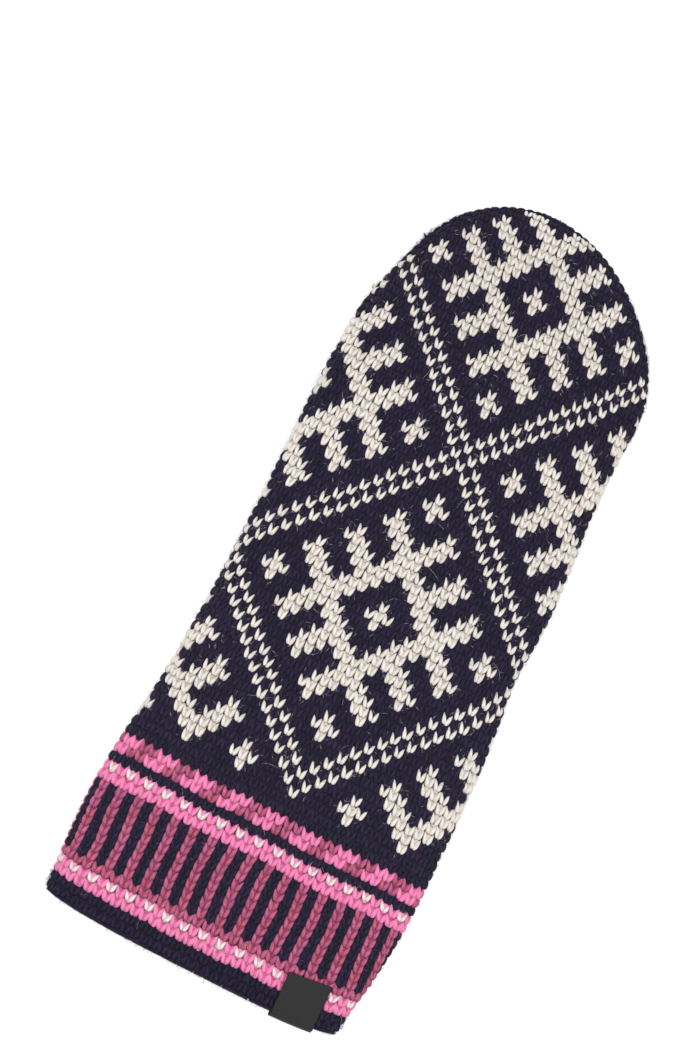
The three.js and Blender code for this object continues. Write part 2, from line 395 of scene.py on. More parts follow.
def chart(column, row):
    """The yarn of each stitch of the hand and the cuff, by formula.

    The hand's pattern repeats on a slanted lattice, whose cells are 36 stitches wide and high.
    With p = column + row and q = column - row, taken from the cell's middle, the lattice is
    where the greater of |p| and |q| is 17, up to the rounded end. The figure inside is the union
    of small crosses on six bars: |q| = 6 or |p| = 6 with the other up to 12, and p = 0 or q = 0
    with the other from 6 to 12. A star of one cross lies at the middle and at the cell's four
    corners. The cuff's rows are plain navy, striped, dotted, blocked, or ribbed on odd columns.
    """
    p = np.mod(column + row + 18, 36) - 18
    q = np.mod(column - row + 18, 36) - 18
    lattice = (np.maximum(np.abs(p), np.abs(q)) == 17) & (row >= -18) & (row <= 37)

    def centre(p, q):
        p, q = np.abs(p), np.abs(q)
        bars = ((q == 6) & (p <= 12)) | ((p == 6) & (q <= 12))
        arms = ((p == 0) & (q >= 6) & (q <= 12)) | ((q == 0) & (p >= 6) & (p <= 12))
        stars = ((p == 12) & (q == 12)) | ((p == 0) & (q == 0))
        return (p % 2 == 0) & (q % 2 == 0) & (bars | arms | stars)

    figure = centre(p, q) & (row >= -18)
    for dp, dq, up in ((1, 1, 0), (-1, -1, 0), (1, -1, 1), (-1, 1, -1)):
        figure |= centre(p + dp, q + dq) & (row + up >= -18)
    lowest = (row == -19) & (np.mod(column, 36) == 0)
    hand = np.where((figure | lattice | lowest) & (row > -20), CREAM, NAVY)
    even = np.mod(column, 2) == 0
    blocks = np.where(np.mod(column + 1 - (row + 22), 4) < 2, PINK, ROSE)
    bands = {
        -37: PINK, -36: np.where(even, CREAM, PINK), -35: ROSE,
        -26: PINK, -25: np.where(even, PINK, CREAM), -23: blocks, -22: blocks,
    }
    for band, yarn in bands.items():
        hand = np.where(row == band, yarn, hand)
    return np.where((row >= -34) & (row <= -27) & ~even, ROSE, hand)


def tube_faces(rings, sides):
    """The faces of a closed tube, whose points are its rings and then its two end points."""
    i = np.arange(sides)
    j = (i + 1) % sides
    here = (np.arange(rings - 1) * sides)[:, None]
    quads = np.stack([here + i, here + sides + i, here + sides + j, here + j], -1).reshape(-1, 4)
    last = (rings - 1) * sides
    first_pole = np.stack([np.full(sides, rings * sides), i, j], -1)
    last_pole = np.stack([np.full(sides, rings * sides + 1), last + j, last + i], -1)
    return quads, np.concatenate([first_pole, last_pole])


class Strand:
    """A short tube of yarn, made once and laid many times: rings of points along a line.

    points has the offsets in millimetres across, along and up. yarn has where each point is in
    the yarn: along it, and round it on a circle that turns as a twisted yarn does. shade is painted
    shade, how much darker each point is for the shadow in the pit where a stitch's legs meet: most
    at the heel at the strand's start, falling off as a bell curve.
    """

    def __init__(self, line, width, depth, rings, sides, twist=0.0, heel=0.0):
        ends = np.array([0.0, 1.0])
        t = (np.arange(rings) + 0.5) / rings
        ahead = line(t + 0.01) - line(t - 0.01)
        flat = unit(np.stack([ahead[:, 1], -ahead[:, 0], np.zeros(rings)], -1))
        angle = 2 * np.pi * np.arange(sides) / sides
        ring = flat[:, None] * (np.cos(angle) * width(t)[:, None])[..., None]
        ring[..., 2] += np.sin(angle) * depth(t)[:, None]
        tube = line(t)[:, None] + ring
        self.points = np.concatenate([tube.reshape(-1, 3), line(ends)])
        length = np.linalg.norm(line(ends)[1] - line(ends)[0])
        turned = angle + twist * t[:, None]
        on = np.broadcast_to(t[:, None] * length, turned.shape)
        yarn = np.stack([on, np.cos(turned), np.sin(turned)], -1)
        self.yarn = np.concatenate([yarn.reshape(-1, 3), [[0, 0, 0], [length, 0, 0]]])
        # Painted shade: the heel is darkened for the shadow in the pit where a stitch's legs meet
        self.shade = heel * np.exp(-((np.append(np.repeat(t, sides), ends) / 0.28) ** 2))
        self.faces = tube_faces(rings, sides)


def leg(rings, sides, lean=1.24, length=1.0, thickness=1.0, heel=0.6):
    """One leg of a stitch, a teardrop of yarn. Its line rises from the heel, leans outwards and
    dips behind the next row. It is fullest below its middle and ends in a point. lean is in
    millimetres, length and thickness are shares of the usual, and heel is how dark the painted
    shade at its heel is, for the shadow in the pit where the legs meet."""

    def line(t):
        out = 0.34 * thickness + lean * np.clip(t, 0, 1) ** 0.95
        dip = np.where(t < 0.4, 0.35, 0.75) * np.abs(t - 0.4) ** 1.8 * 2.2
        return np.stack([out, length * (-0.64 + 1.29 * t) * ROW, -0.70 - dip], -1)

    def fullness(t):
        return np.sin(np.pi * np.clip(t, 0, 1) ** 0.62) ** 0.6

    width = 0.78 * thickness
    return Strand(line, lambda t: width * fullness(t), lambda t: 0.68 * fullness(t), rings, sides, 4.0, heel)


def bump(rings, sides, depth):
    """A short bar of yarn across a column, bowed up, as the inside of the knitting shows and the
    rolled edge has."""

    def line(t):
        under = 1.6 * (t - 0.5) ** 2 - depth
        return np.stack([(t - 0.5) * 1.15 * COLUMN, 0.7 * np.sin(np.pi * t) - 0.2, under], -1)

    def fullness(t):
        return np.sin(np.pi * np.clip(t, 0, 1)) ** 0.4

    return Strand(line, lambda t: 0.82 * fullness(t), lambda t: 0.7 * fullness(t), rings, sides, twist=4.0)


def head():
    """The yarn that shows deep between a stitch's legs where the next stitch up is light too: a
    flat lozenge."""

    def line(t):
        return np.stack([np.zeros_like(t), (t - 0.45) * 1.1 * ROW, np.full_like(t, -HEAD_DEPTH)], -1)

    def width(t):
        return 1.2 * np.sin(np.pi * t) ** 0.5

    return Strand(line, width, lambda t: 0.25 * np.sin(np.pi * t) ** 0.5, 2, 6)


def bed(start=-0.7, end=0.25, depth=BED_DEPTH):
    """The yarn that shows deep between the lower halves of neighbouring light stitches: a flat
    oblong as wide as a column, from one share of the row to another."""

    def line(t):
        return np.stack([np.zeros_like(t), (start + (end - start) * t) * ROW, np.full_like(t, -depth)], -1)

    def width(t):
        return 1.65 * np.sin(np.pi * t) ** 0.2

    return Strand(line, width, lambda t: 0.2 * np.sin(np.pi * t) ** 0.5, 2, 4)


def make_mesh(name, points, faces, attributes=None):
    """A mesh object from whole arrays: points in millimetres, faces as arrays of corners."""
    mesh = bpy.data.meshes.new(name)
    mesh.vertices.add(len(points))
    mesh.vertices.foreach_set("co", row_frame(points).astype(np.float32).ravel())
    corners = np.concatenate([f.ravel() for f in faces])
    totals = np.concatenate([np.full(len(f), f.shape[1]) for f in faces])
    mesh.loops.add(len(corners))
    mesh.loops.foreach_set("vertex_index", corners.astype(np.int32))
    mesh.polygons.add(len(totals))
    mesh.polygons.foreach_set("loop_start", (np.cumsum(totals) - totals).astype(np.int32))
    for key, values in (attributes or {}).items():
        kind, field = ("FLOAT", "value") if values.ndim == 1 else ("FLOAT_VECTOR", "vector")
        layer = mesh.attributes.new(key, kind, "POINT")
        layer.data.foreach_set(field, values.astype(np.float32).ravel())
    mesh.update(calc_edges=True)
    mesh.validate()
    piece = bpy.data.objects.new(name, mesh)
    bpy.context.scene.collection.objects.link(piece)
    return piece


def lay_strands(name, strand, place, column, row, seed, mirror=None, jitter=0.03):
    """Lays one strand at each column and row, with a little seeded unevenness in place, width
    and tone, and the strand's painted shade at its heel. Where mirror is -1 the strand is turned
    over left to right, faces too."""
    rng = np.random.default_rng(seed)
    count = len(column)
    mirror = np.ones(count) if mirror is None else mirror
    across = strand.points[:, 0] * mirror[:, None] * rng.normal(1.0, jitter * 1.5, (count, 1))
    along = strand.points[:, 1] * rng.normal(1.0, jitter, (count, 1))
    lean = rng.normal(0.0, jitter, (count, 1))
    column = column[:, None] + (across + along * lean) / COLUMN + rng.normal(0, jitter, (count, 1))
    row = row[:, None] + along / ROW + rng.normal(0, jitter, (count, 1))
    height = strand.points[:, 2] * rng.normal(1.0, jitter, (count, 1))
    points = place(column, row, height).reshape(-1, 3)
    size = len(strand.points)
    start = (np.arange(count) * size)[:, None, None]
    turned = mirror < 0
    faces = []
    for shape in strand.faces:
        faces.append((start[~turned] + shape).reshape(-1, shape.shape[1]))
        faces.append((start[turned] + shape[:, ::-1]).reshape(-1, shape.shape[1]))
    # Each strand's own random tone, less the painted shade at its heel
    tone_and_shade = (np.clip(rng.normal(0, 0.4, (count, 1)), -1, 1) - strand.shade).ravel()
    yarn = strand.yarn[None] * [0.15, 0.8, 0.8] + rng.uniform(0, 50, (count, 1, 3)) * [1, 0, 0]
    return make_mesh(name, points, [f for f in faces if len(f)], {"tone_and_shade": tone_and_shade, "yarn": yarn.reshape(-1, 3)})


def finish_piece(piece, material, slot, *replaced):
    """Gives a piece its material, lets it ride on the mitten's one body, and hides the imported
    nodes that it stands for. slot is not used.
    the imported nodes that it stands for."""
    piece.data.materials.append(material)
    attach(piece, BODY)
    if replaced:
        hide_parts(*replaced)


class Nodes:
    """A few short calls for building a node tree."""

    def __init__(self, name):
        self.material = bpy.data.materials.new(name)
        self.material.use_nodes = True
        self.tree = self.material.node_tree
        self.shader = self.tree.nodes["Principled BSDF"]

    def add(self, kind, inputs=None, **settings):
        node = self.tree.nodes.new(kind)
        for key, value in settings.items():
            setattr(node, key, value)
        for key, value in (inputs or {}).items():
            self.join(value, node.inputs[key])
        return node

    def join(self, value, socket):
        if isinstance(value, bpy.types.NodeSocket):
            self.tree.links.new(value, socket)
        else:
            socket.default_value = value

    def shade(self, **inputs):
        for key, value in inputs.items():
            self.join(value, self.shader.inputs[key.replace("_", " ")])

    def attribute(self, name, output):
        return self.add("ShaderNodeAttribute", attribute_name=name).outputs[output]

    def noise(self, vector, scale, detail=2.0, roughness=0.55):
        settings = {"Vector": vector, "Scale": scale, "Detail": detail, "Roughness": roughness}
        return self.add("ShaderNodeTexNoise", settings).outputs["Fac"]

    def math(self, operation, *values, clamp=False):
        inputs = dict(enumerate(values))
        return self.add("ShaderNodeMath", inputs, operation=operation, use_clamp=clamp).outputs[0]

    def mix(self, share, first, second):
        node = self.add("ShaderNodeMix", data_type="RGBA")
        for index, value in ((0, share), (6, first), (7, second)):
            self.join(value, node.inputs[index])
        return node.outputs[2]

    def object_place(self):
        return self.add("ShaderNodeTexCoord").outputs["Object"]

    def bump(self, height, distance):
        return self.add("ShaderNodeBump", {"Height": height, "Distance": distance}).outputs["Normal"]


def tinted(colour, share):
    """A colour made lighter or darker, with its alpha."""
    return (*[min(1.0, c * share) for c in colour], 1.0)


def wool(name, colour, spread, streak, haze, other=None):
    """Matt wool yarn: fine fibres twisted along the strand, a haze of fluff over the knitting, a
    tone of its own for each strand with painted shade at its heel, and slow drifts of colour.
    spread is how far the colour goes up and down, streak and haze are what the fibres and the
    fluff add, and other is a shade that it drifts to."""
    n = Nodes(name)
    place = n.object_place()
    fibres = n.noise(n.attribute("yarn", "Vector"), 5.0, 4.0, 0.65)
    fluff = n.noise(place, 900.0, 3.0, 0.7)
    drift = n.math("MULTIPLY_ADD", n.noise(place, 170.0, 3.0), 3.0, -1.0, clamp=True)
    # The strand's own tone, darkened by the painted shade at its heel
    share = n.math("MULTIPLY_ADD", n.attribute("tone_and_shade", "Fac"), 0.2, 0.5 - (streak + haze) / 2)
    share = n.math("MULTIPLY_ADD", fibres, streak, share)
    share = n.math("MULTIPLY_ADD", fluff, haze, share, clamp=True)
    light = n.mix(drift, tinted(colour, 1 + spread), tinted(other or colour, 1 + spread))
    dark = n.mix(drift, tinted(colour, 1 - spread), tinted(other or colour, 1 - spread))
    n.shade(
        Base_Color=n.mix(share, dark, light), Roughness=0.95, Normal=n.bump(fibres, 0.00035),
        Specular_IOR_Level=0.15, Sheen_Weight=0.1, Sheen_Roughness=0.45, Sheen_Tint=tinted(colour, 1.6),
    )
    return n.material


def ground_wool(name, colour):
    """The cloth behind the stitches: dark, and rough with fine fuzz."""
    n = Nodes(name)
    place = n.object_place()
    fuzz = n.noise(place, 2600.0, 3.0, 0.6)
    shade = n.mix(fuzz, tinted(colour, 0.6), tinted(colour, 1.3))
    n.shade(
        Base_Color=shade, Roughness=1.0, Normal=n.bump(fuzz, 0.0006), Specular_IOR_Level=0.1, Sheen_Weight=0.1
    )
    return n.material


def a_colour(name, description, default):
    return FloatVectorProperty(
        name=name, description=description, subtype="COLOR", size=3, min=0, max=1, default=default
    )


def a_length(name, description, default):
    return FloatProperty(
        name=name, description=description, default=default, unit="LENGTH", subtype="DISTANCE"
    )


def a_count(name, description, default, least=3, most=8):
    return IntProperty(name=name, description=description, default=default, min=least, max=most)


class MittenYarns(bpy.types.PropertyGroup):
    """The colours that the mitten is knitted in."""

    navy: a_colour("Navy", "The dark yarn of the hand and the thumb", (0.0180, 0.0122, 0.0322))
    deep_navy: a_colour("Deep navy", "The shade that the dark yarn drifts to", (0.0113, 0.0112, 0.0232))
    cream: a_colour("Cream", "The light yarn of the pattern", (0.592, 0.552, 0.508))
    pink: a_colour("Bright pink", "The bright yarn of the cuff", (0.622, 0.172, 0.335))
    rose: a_colour("Rose", "The duller yarn of the cuff", (0.366, 0.092, 0.184))
    coral: a_colour("Coral", "The shade that the rose yarn drifts to", (0.372, 0.078, 0.131))
    label: a_colour("Label", "The woven label's thread", (0.0083, 0.0076, 0.0076))


class MittenKnitting(bpy.types.PropertyGroup):
    """How finely the stitches and the loose fibres are made."""

    back_sides: a_count("Sides on the back", "Sides of a leg of yarn on the back", 6)
    back_rings: a_count("Rings on the back", "Rings along a leg of yarn on the back", 5)
    palm_sides: a_count("Sides below", "Sides of a leg of yarn on the palm and thumb", 4)
    palm_rings: a_count("Rings below", "Rings along a leg of yarn on the palm and thumb", 4)
    hairs: a_count("Hairs", "Long stray hairs over the whole mitten", 600, 0, 10000)
    fuzz: a_count("Fuzz", "Short fibres that stand out of the yarn", 27000, 0, 30000)
    hair_length: a_length("Hair length", "Mean length of a stray hair", 0.0045)


class MittenStudio(bpy.types.PropertyGroup):
    """The camera and the lights."""

    lens: FloatProperty(
        name="Lens", description="Focal length of the camera", default=300.0, min=50, unit="CAMERA"
    )
    framed: a_length("Framed height", "Height of what the picture takes in", 0.3506)
    roll: FloatProperty(
        name="Roll", description="Turn of the camera about its axis", default=math.radians(26.95),
        subtype="ANGLE",
    )
    look_x: a_length("Look at X", "Where the picture's centre is, across the mitten", -0.0230)
    look_y: a_length("Look at Y", "Where the picture's centre is, along the mitten", 0.0162)
    sky: FloatProperty(
        name="Sky", description="Strength of the even light from all round", default=1.24, min=0
    )
    key: FloatProperty(
        name="Key", description="Strength of the main soft light", default=16.5, min=0, unit="POWER"
    )
    fill: FloatProperty(
        name="Fill", description="Strength of the soft light facing it", default=8.3, min=0, unit="POWER"
    )


def grid_shell(name, outer, inner, closed_end, hole=None):
    """A closed shell from two matching grids of points, loop by loop: an outer and an inner
    face, joined at the open ends. With closed_end the last loop of each face is one point.
    hole is a mask of the grid's cells that are left out, whose border joins the two faces."""
    loops, count = outer.shape[:2]
    i = np.arange(count)
    j = (i + 1) % count
    base = (np.arange(loops) * count)[:, None]
    cells = np.stack([base[:-1] + i, base[:-1] + j, base[1:] + j, base[1:] + i], -1)
    kept = np.ones(cells.shape[:2], bool) if hole is None else ~hole
    inner_start = loops * count
    faces = [cells[kept], cells[kept][:, ::-1] + inner_start]
    rims = [np.stack([base[0] + j, base[0] + i, base[0] + i + inner_start, base[0] + j + inner_start], -1)]
    if not closed_end:
        top = base[-1]
        rims.append(np.stack([top + i, top + j, top + j + inner_start, top + i + inner_start], -1))
    if hole is not None:
        rows, columns = np.nonzero(hole)
        # The neighbour of a cell of the hole, and the two corners that they share
        for on, over, first, second in ((-1, 0, 0, 1), (1, 0, 2, 3), (0, -1, 3, 0), (0, 1, 1, 2)):
            edge = ~hole[rows + on, (columns + over) % count]
            a = cells[rows[edge], columns[edge], first]
            b = cells[rows[edge], columns[edge], second]
            rims.append(np.stack([a, b, b + inner_start, a + inner_start], -1))
    points = np.concatenate([outer.reshape(-1, 3), inner.reshape(-1, 3)])
    # The loops run the other way round, so every face is turned over to face out of the cloth
    piece = make_mesh(name, points, [np.concatenate(faces + rims)[:, ::-1]])
    if closed_end:
        weld(piece)
    return piece


def weld(piece):
    """Merges the points that fall together at a pole, and drops the faces that vanish there."""
    work = bmesh.new()
    work.from_mesh(piece.data)
    bmesh.ops.remove_doubles(work, verts=work.verts, dist=1e-6)
    work.to_mesh(piece.data)
    work.free()


def loop_round(count):
    """Points round a bag: which side each is on, and its share of the reach, which goes evenly
    from 1 to -1 over the top and back below."""
    step = np.arange(count) / count
    return np.where(step < 0.5, 1.0, -1.0), np.abs(np.mod(step * 4, 4) - 2) - 1


def hand_grid(stations, turns, height, count=96):
    """Loops round the hand on its cloth: at stations along y, then at turns into its end."""
    side, share = loop_round(count)
    whole = 1 + HAND.spare
    along = np.concatenate([stations, TIP_START + TIP_LENGTH * whole * np.sin(turns)])
    reach = np.concatenate([HAND.reach(stations), HAND.tip_half * whole * np.cos(turns)])
    along = np.broadcast_to(along[:, None], (len(along), count))
    return HAND.lay(side, reach[:, None] * share, along, height)


def thumb_grid(height, count=56, rows=16, end_rows=10):
    """Loops round the thumb, from its slanted base into its rounded end."""
    side, share = loop_round(count)
    reach = THUMB.reach(np.zeros(1))[0]
    base = thumb_base(side, share * reach)
    t = np.linspace(0, 1, rows)[:, None]
    straight = base + (THUMB.tip_start - base) * t
    turns = np.linspace(0, np.pi / 2, end_rows)[1:, None]
    whole = 1 + THUMB.spare
    ended = THUMB.tip_start + THUMB.tip_length * whole * np.sin(turns) + 0 * base
    along = np.concatenate([straight, ended])
    across = share * reach * np.concatenate([np.ones((rows, 1)), np.cos(turns)])
    return THUMB.lay(side, across, along, height)


class MittenOperator:
    """What the operators share: each makes its pieces, or raises an error."""

    bl_options = {"REGISTER", "UNDO"}

    def execute(self, context):
        self.make(context.scene.mitten_yarns, context.scene.mitten_knitting, context.scene.mitten_studio)
        return {"FINISHED"}


class MITTEN_OT_cuff_ground(MittenOperator, bpy.types.Operator):
    """Make the cuff's cloth, which its stitches stand on"""

    bl_idname = "mitten.cuff_ground"
    bl_label = "Cuff ground"

    def make(self, yarns, knitting, studio):
        stations = np.concatenate([[-0.7, 0.0, 0.6], np.linspace(1.2, CUFF_LENGTH - GAP / 2, 20)])
        outer = hand_grid(stations, np.array([]), -GROUND_DEPTH)
        inner = hand_grid(np.maximum(stations, HAND.edge), np.array([]), BUMP_BED - WALL)
        piece = grid_shell("cuff_ground", outer, inner, closed_end=False)
        finish_piece(piece, ground_wool("cuff_cloth", yarns.navy), "striped_wool", "cuff")


class MITTEN_OT_hand_ground(MittenOperator, bpy.types.Operator):
    """Make the hand's cloth, with the hole that the thumb grows out of"""

    bl_idname = "mitten.hand_ground"
    bl_label = "Hand ground"

    def make(self, yarns, knitting, studio):
        wrist = np.linspace(CUFF_LENGTH + GAP / 2, 122.0, 18)
        step = np.linspace(PALM_STEP[0], PALM_STEP[1], 7)
        fingers = np.linspace(136.0, TIP_START, 24)
        stations = np.concatenate([wrist, step, fingers])
        turns = np.linspace(0, np.pi / 2, 24)[1:]
        outer = hand_grid(stations, turns, -GROUND_DEPTH)
        inner = hand_grid(stations, turns, -WALL)
        middle = (outer[:-1] + outer[1:] + np.roll(outer[:-1] + outer[1:], -1, 1)) / 4
        in_thumb = np.abs(middle[..., 0] - THUMB_X) < THUMB_HALF - WALL - 1
        in_step = (middle[..., 1] > PALM_STEP[0] + 2) & (middle[..., 1] < PALM_STEP[1] - 2)
        below = np.arange(outer.shape[1]) >= outer.shape[1] / 2
        piece = grid_shell("hand_ground", outer, inner, closed_end=True, hole=in_thumb & in_step & below)
        finish_piece(piece, ground_wool("hand_cloth", yarns.navy), "patterned_wool", "hand")


class MITTEN_OT_thumb_ground(MittenOperator, bpy.types.Operator):
    """Make the thumb's cloth"""

    bl_idname = "mitten.thumb_ground"
    bl_label = "Thumb ground"

    def make(self, yarns, knitting, studio):
        piece = grid_shell("thumb_ground", thumb_grid(-GROUND_DEPTH), thumb_grid(-WALL), closed_end=True)
        finish_piece(piece, ground_wool("thumb_cloth", yarns.navy), "navy_wool", "thumb")


def whole_rows(first, last):
    """The column and the row of every stitch in some rows of the round."""
    row, column = np.meshgrid(np.arange(first, last + 1.0), np.arange(ROUND) + FIRST_COLUMN, indexing="ij")
    return column.ravel(), row.ravel()


def hand_stitches():
    """The column and the row of each stitch of the cuff and the hand, its yarn, and whether it is
    on the back. Stitches past the fold of the rounded end are left out, and those over the
    thumb's hole."""
    column, row = whole_rows(FIRST_ROW, LAST_ROW)
    back, across, along = round_place(column, row)
    point = hand_place(column, row, np.zeros_like(row))
    in_hole = (np.abs(point[:, 0] - THUMB_X) < THUMB_HALF - WALL) & ~back
    in_hole &= (point[:, 1] > PALM_STEP[0] + 1) & (point[:, 1] < PALM_STEP[1] - 1)
    kept = ~HAND.off_end(across, along) & ~in_hole
    return column[kept], row[kept], chart(column, row)[kept], back[kept]


def knit(name, strand, place, column, row, seed):
    """Both legs of each stitch."""
    count = len(column)
    mirror = np.concatenate([np.ones(count), -np.ones(count)])
    return lay_strands(name, strand, place, np.tile(column, 2), np.tile(row, 2), seed, mirror)


def knit_yarn(name, strand, column, row, seed, yarn, yarns, slot):
    """The stitches of one yarn, and for a light yarn the heads behind those with a light stitch
    above and the beds behind those with one on both sides."""
    finish_piece(knit(name, strand, hand_place, column, row, seed), yarn_material(yarn, yarns), slot)
    if yarn == NAVY:
        return
    light_above = chart(column, row + 1) != NAVY
    amid_light = (chart(column - 1, row) != NAVY) & (chart(column + 1, row) != NAVY)
    for kind, behind, chosen in (("heads", head(), light_above), ("beds", bed(), amid_light)):
        if chosen.any():
            hidden = lay_strands(
                name.replace("stitches", kind), behind, hand_place, column[chosen], row[chosen], seed + 50
            )
            # The heads and beds take their yarn darkened with painted shade
            finish_piece(hidden, yarn_material(yarn, yarns, hidden=True), slot)


def yarn_material(yarn, yarns, hidden=False):
    """The material of one yarn, made once, and one darkened with painted shade for its hidden
    heads and beds, which lie deep between the legs.
    """
    name = f"{YARNS[yarn]}_yarn" + ("_shade" if hidden else "")
    if name not in bpy.data.materials:
        colour = (yarns.navy, yarns.cream, yarns.pink, yarns.rose)[yarn]
        spread = (0.60, 0.14, 0.20, 0.40)[yarn]
        streak = (1.2, 1.2, 1.6, 2.4)[yarn]
        haze = (1.5, 0.5, 0.8, 1.2)[yarn]
        if hidden:
            # Painted shade: the hidden yarn is darkened for the shadow deep between the legs
            colour = [c * share for c, share in zip(colour, PAINTED_SHADE_SHARES[yarn])]
        other = (yarns.deep_navy, None, None, yarns.coral)[yarn]
        wool(name, colour, spread, streak, haze, None if hidden else other)
    return bpy.data.materials[name]


class MITTEN_OT_cuff_stitches(MittenOperator, bpy.types.Operator):
    """Knit the striped cuff, all the way round, with the bumps of its rolled edge"""

    bl_idname = "mitten.cuff_stitches"
    bl_label = "Cuff stitches"

    def make(self, yarns, knitting, studio):
        column, row, yarn, back = hand_stitches()
        cuff = row <= CUFF_TOP_ROW
        for shade, name in enumerate(YARNS):
            for on_back, half, rings, sides in (
                (True, "back", knitting.back_rings, knitting.back_sides),
                (False, "palm", knitting.palm_rings, knitting.palm_sides),
            ):
                chosen = cuff & (yarn == shade) & (back == on_back)
                knit_yarn(
                    f"cuff_{half}_{name}_stitches", leg(rings, sides, *CUFF_LEGS[shade]), column[chosen],
                    row[chosen], shade + 10 * on_back, shade, yarns, "striped_wool",
                )
        # The pink yarn runs on behind the cream dots
        chosen = cuff & (yarn == CREAM)
        floats = lay_strands(
            "cuff_pink_floats", bed(-0.75, 0.6, 0.74), hand_place, column[chosen], row[chosen], 24
        )
        finish_piece(floats, yarn_material(PINK, yarns), "striped_wool")
        edge = lay_strands(
            "hem_edge_bumps", bump(5, 6, 0.55), hand_place, np.arange(ROUND) + FIRST_COLUMN,
            np.full(ROUND, EDGE_ROW), 25, jitter=0.05,
        )
        finish_piece(edge, yarn_material(NAVY, yarns), "striped_wool")


class MITTEN_OT_back_stitches(MittenOperator, bpy.types.Operator):
    """Knit the back of the hand, and the chain of stitches round its tip"""

    bl_idname = "mitten.back_stitches"
    bl_label = "Back stitches"

    def make(self, yarns, knitting, studio):
        column, row, yarn, back = hand_stitches()
        for shade, size in ((CREAM, 0.94), (NAVY, 1.0)):
            strand = leg(knitting.back_rings, knitting.back_sides, 1.22 * size, size, size)
            chosen = (row > CUFF_TOP_ROW) & (yarn == shade) & back
            knit_yarn(
                f"back_{YARNS[shade]}_stitches", strand, column[chosen], row[chosen], 30 + shade,
                shade, yarns, "patterned_wool",
            )
        steps = np.arange(0.5, math.pi * RIM_RADIUS / ROW, 1.0)
        rim = knit("tip_edge_stitches", strand, rim_place, np.zeros_like(steps), steps, 34)
        finish_piece(rim, yarn_material(NAVY, yarns), "patterned_wool")


class MITTEN_OT_palm_stitches(MittenOperator, bpy.types.Operator):
    """Knit the palm"""

    bl_idname = "mitten.palm_stitches"
    bl_label = "Palm stitches"

    def make(self, yarns, knitting, studio):
        column, row, yarn, back = hand_stitches()
        strand = leg(knitting.palm_rings, knitting.palm_sides)
        for shade in (NAVY, CREAM):
            chosen = (row > CUFF_TOP_ROW) & (yarn == shade) & ~back
            knit_yarn(
                f"palm_{YARNS[shade]}_stitches", strand, column[chosen], row[chosen], 40 + shade,
                shade, yarns, "patterned_wool",
            )


class MITTEN_OT_thumb_stitches(MittenOperator, bpy.types.Operator):
    """Knit the plain thumb"""

    bl_idname = "mitten.thumb_stitches"
    bl_label = "Thumb stitches"

    def make(self, yarns, knitting, studio):
        row, column = np.meshgrid(np.arange(0.5, THUMB_ROWS), np.arange(0.5, THUMB_ROUND), indexing="ij")
        row, column = row.ravel(), column.ravel()
        point = thumb_place(column, row, np.zeros_like(row))
        off_end = THUMB.off_end(thumb_across(column)[1], THUMB_START + row * ROW)
        # Only stitches that are clear of the palm's slanted step
        kept = ~off_end & (point[:, 1] > THUMB_START + point[:, 2] + 1.5)
        strand = leg(knitting.palm_rings, knitting.palm_sides)
        piece = knit("thumb_stitches", strand, thumb_place, column[kept], row[kept], 60)
        finish_piece(piece, yarn_material(NAVY, yarns), "navy_wool")


class MITTEN_OT_inside_stitches(MittenOperator, bpy.types.Operator):
    """Make the bumps that the inside of the cuff shows"""

    bl_idname = "mitten.inside_stitches"
    bl_label = "Inside stitches"

    def make(self, yarns, knitting, studio):
        column, row = whole_rows(*INSIDE_ROWS)
        yarn = chart(column, row)
        for shade, name in enumerate(YARNS):
            chosen = yarn == shade
            piece = lay_strands(
                f"inside_{name}_bumps", bump(3, 5, WALL - 0.72), hand_place, column[chosen], row[chosen],
                70 + shade,
            )
            finish_piece(piece, yarn_material(shade, yarns), "striped_wool")


def strew(place, count, mean, points, spread, rows, rng):
    """Lines of points for loose fibres: each starts in the yarn at a random place, bends at a
    steady rate, and stands up from the cloth. None goes under the floor, lies on the label or
    jumps over a fold."""
    column = rng.uniform(0.0, ROUND, count)
    row = rng.uniform(*rows, count)
    length = mean * rng.uniform(0.5, 1.8, count)
    heading = rng.uniform(0, 2 * np.pi, count)
    curl = rng.normal(0, spread, count)
    lift = np.abs(rng.normal(0.2, 0.3, count)) * length
    t = np.linspace(0, 1, points)
    turned = heading[:, None] + curl[:, None] * t
    step = (length / (points - 1))[:, None]
    across = np.cumsum(np.cos(turned), 1) * step
    on = np.cumsum(np.sin(turned), 1) * step
    height = -0.35 + 0.4 * t + lift[:, None] * np.sin(np.pi * t * 0.8)
    line = place(column[:, None] + across / COLUMN, row[:, None] + on / ROW, height)
    line[..., 2] = np.maximum(line[..., 2], 0.03)
    whole = np.linalg.norm(np.diff(line, axis=1), axis=-1).max(1) < 3 * step[:, 0] + 0.8
    on_label = (np.abs(line[..., 0] - LABEL_X) < LABEL_WIDTH / 2 + 1.5) & (line[..., 1] < LABEL_OUTSIDE + 2)
    whole &= ~on_label.any(1)
    return line[whole], chart(np.round(column), np.round(row))[whole]


